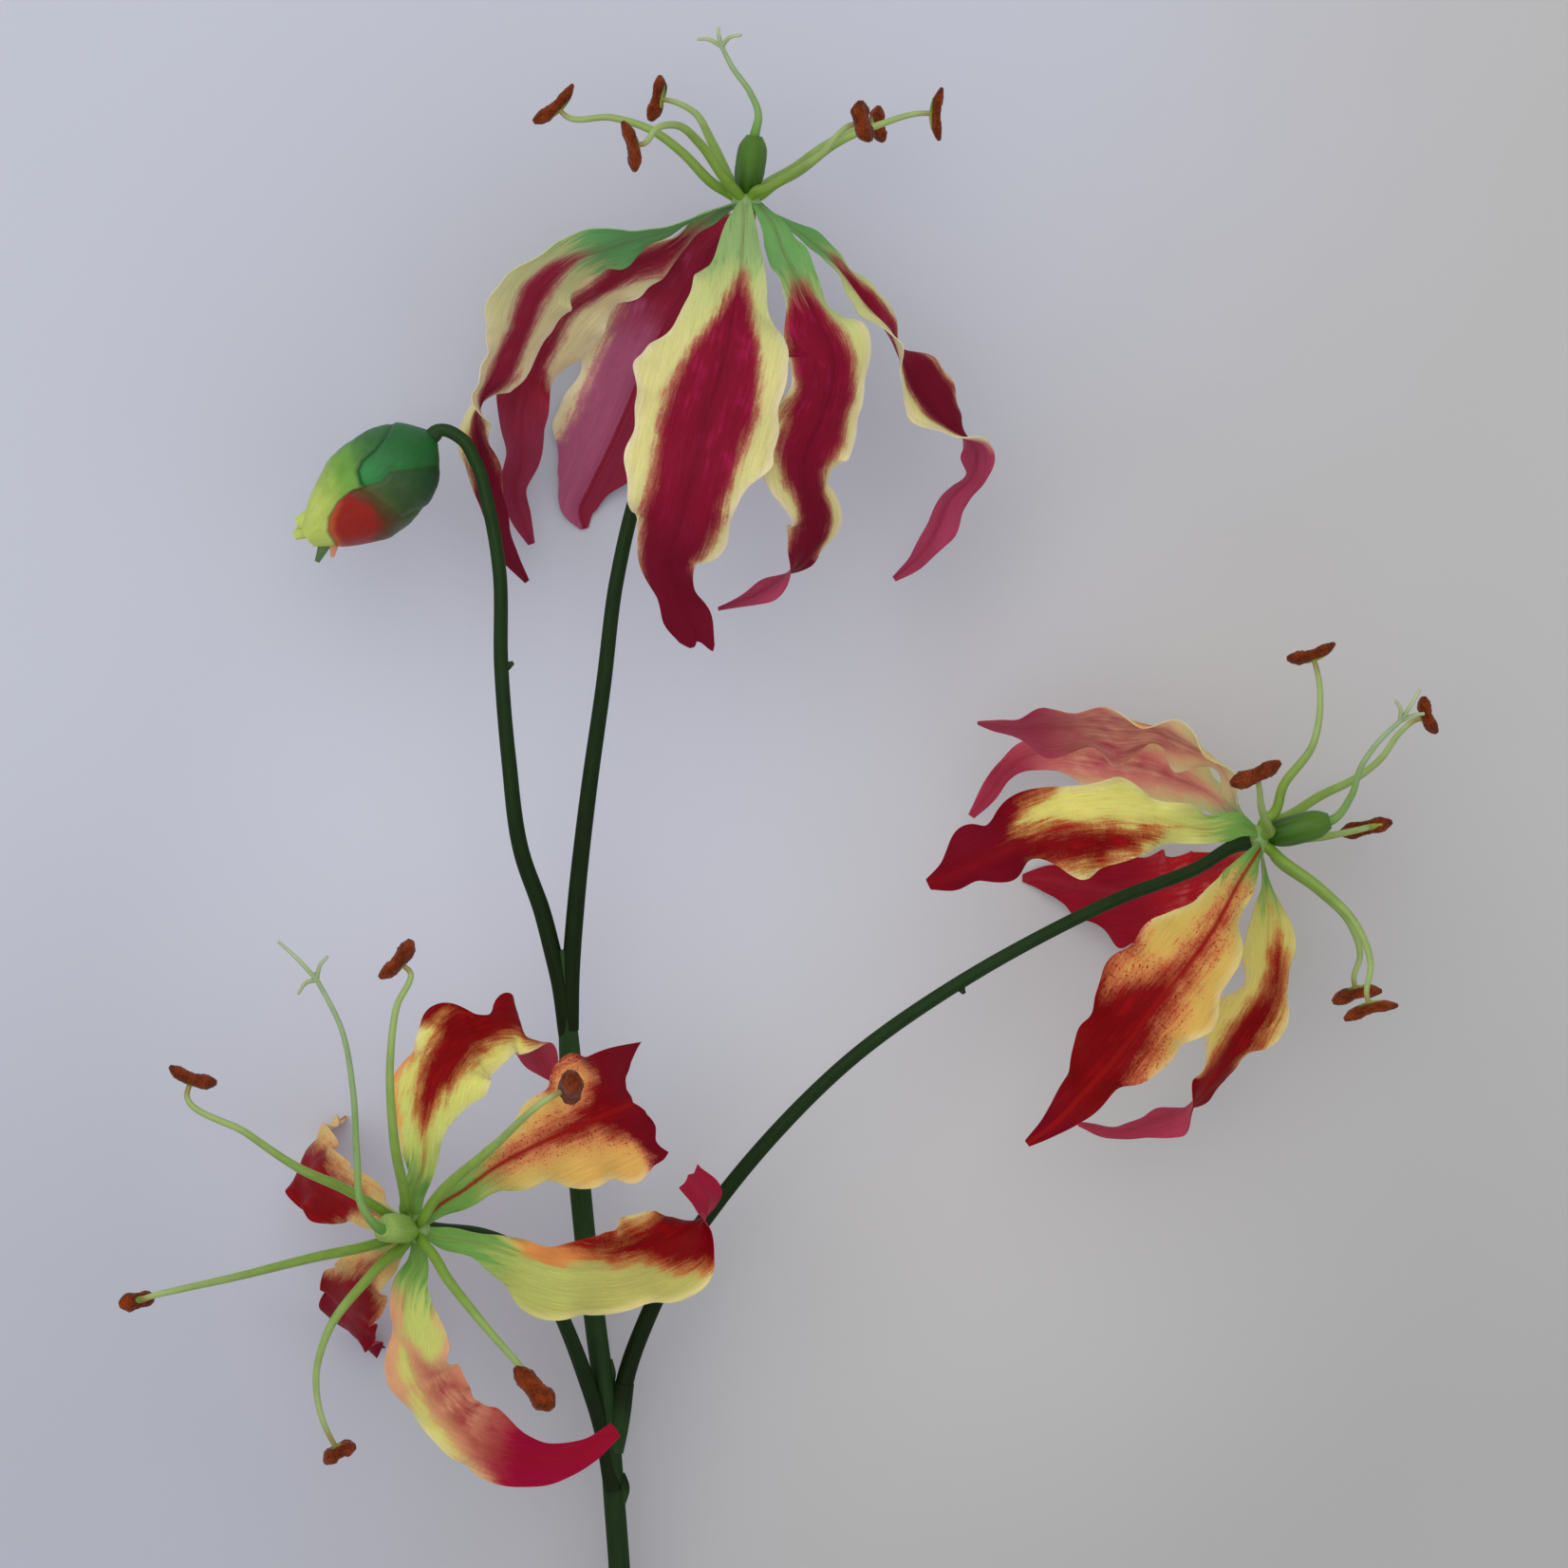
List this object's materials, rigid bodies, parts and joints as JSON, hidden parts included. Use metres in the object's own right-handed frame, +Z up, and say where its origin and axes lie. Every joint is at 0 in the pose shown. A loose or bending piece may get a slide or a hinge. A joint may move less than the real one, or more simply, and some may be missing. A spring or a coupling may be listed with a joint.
{
  "type": "flame lily spray",
  "caption": "Branched cut stem of flame lily: swept-back waved petals striped crimson and yellow, spreading stamens, bent styles and a hanging bud, laid down",
  "frame": {"origin": "on the surface that the spray lies on, under the middle of its bounding box", "axes": "+Z up from the surface, +Y along the stem from its cut end to the top bloom, +X to the branch with the right bloom"},
  "size_m": [0.2737, 0.4307, 0.1057],
  "materials": {
    "petal": "soft satin petal, crimson with yellow edges and a green base",
    "filament": "smooth yellow-green plant tissue",
    "anther": "velvety rust-brown pollen",
    "pistil": "smooth green plant tissue",
    "stem": "smooth dark green stem, satin",
    "bud": "satin green petals folded shut"
  },
  "bodies": {
    "root": {"stem": "stem", "bud": "bud", "upper_bloom_petal_1": "petal", "upper_bloom_petal_2": "petal", "upper_bloom_petal_3": "petal", "upper_bloom_petal_4": "petal", "upper_bloom_petal_5": "petal", "upper_bloom_petal_6": "petal", "upper_bloom_filaments": "filament", "upper_bloom_anther_1": "anther", "upper_bloom_anther_2": "anther", "upper_bloom_anther_3": "anther", "upper_bloom_anther_4": "anther", "upper_bloom_anther_5": "anther", "upper_bloom_anther_6": "anther", "upper_bloom_pistil": "pistil", "right_bloom_petal_1": "petal", "right_bloom_petal_2": "petal", "right_bloom_petal_3": "petal", "right_bloom_petal_4": "petal", "right_bloom_petal_5": "petal", "right_bloom_petal_6": "petal", "right_bloom_filaments": "filament", "right_bloom_anther_1": "anther", "right_bloom_anther_2": "anther", "right_bloom_anther_3": "anther", "right_bloom_anther_4": "anther", "right_bloom_anther_5": "anther", "right_bloom_anther_6": "anther", "right_bloom_pistil": "pistil", "lower_bloom_petal_1": "petal", "lower_bloom_petal_2": "petal", "lower_bloom_petal_3": "petal", "lower_bloom_petal_4": "petal", "lower_bloom_petal_5": "petal", "lower_bloom_petal_6": "petal", "lower_bloom_filaments": "filament", "lower_bloom_anther_1": "anther", "lower_bloom_anther_2": "anther", "lower_bloom_anther_3": "anther", "lower_bloom_anther_4": "anther", "lower_bloom_anther_5": "anther", "lower_bloom_anther_6": "anther", "lower_bloom_pistil": "pistil"}
  },
  "joints": []
}
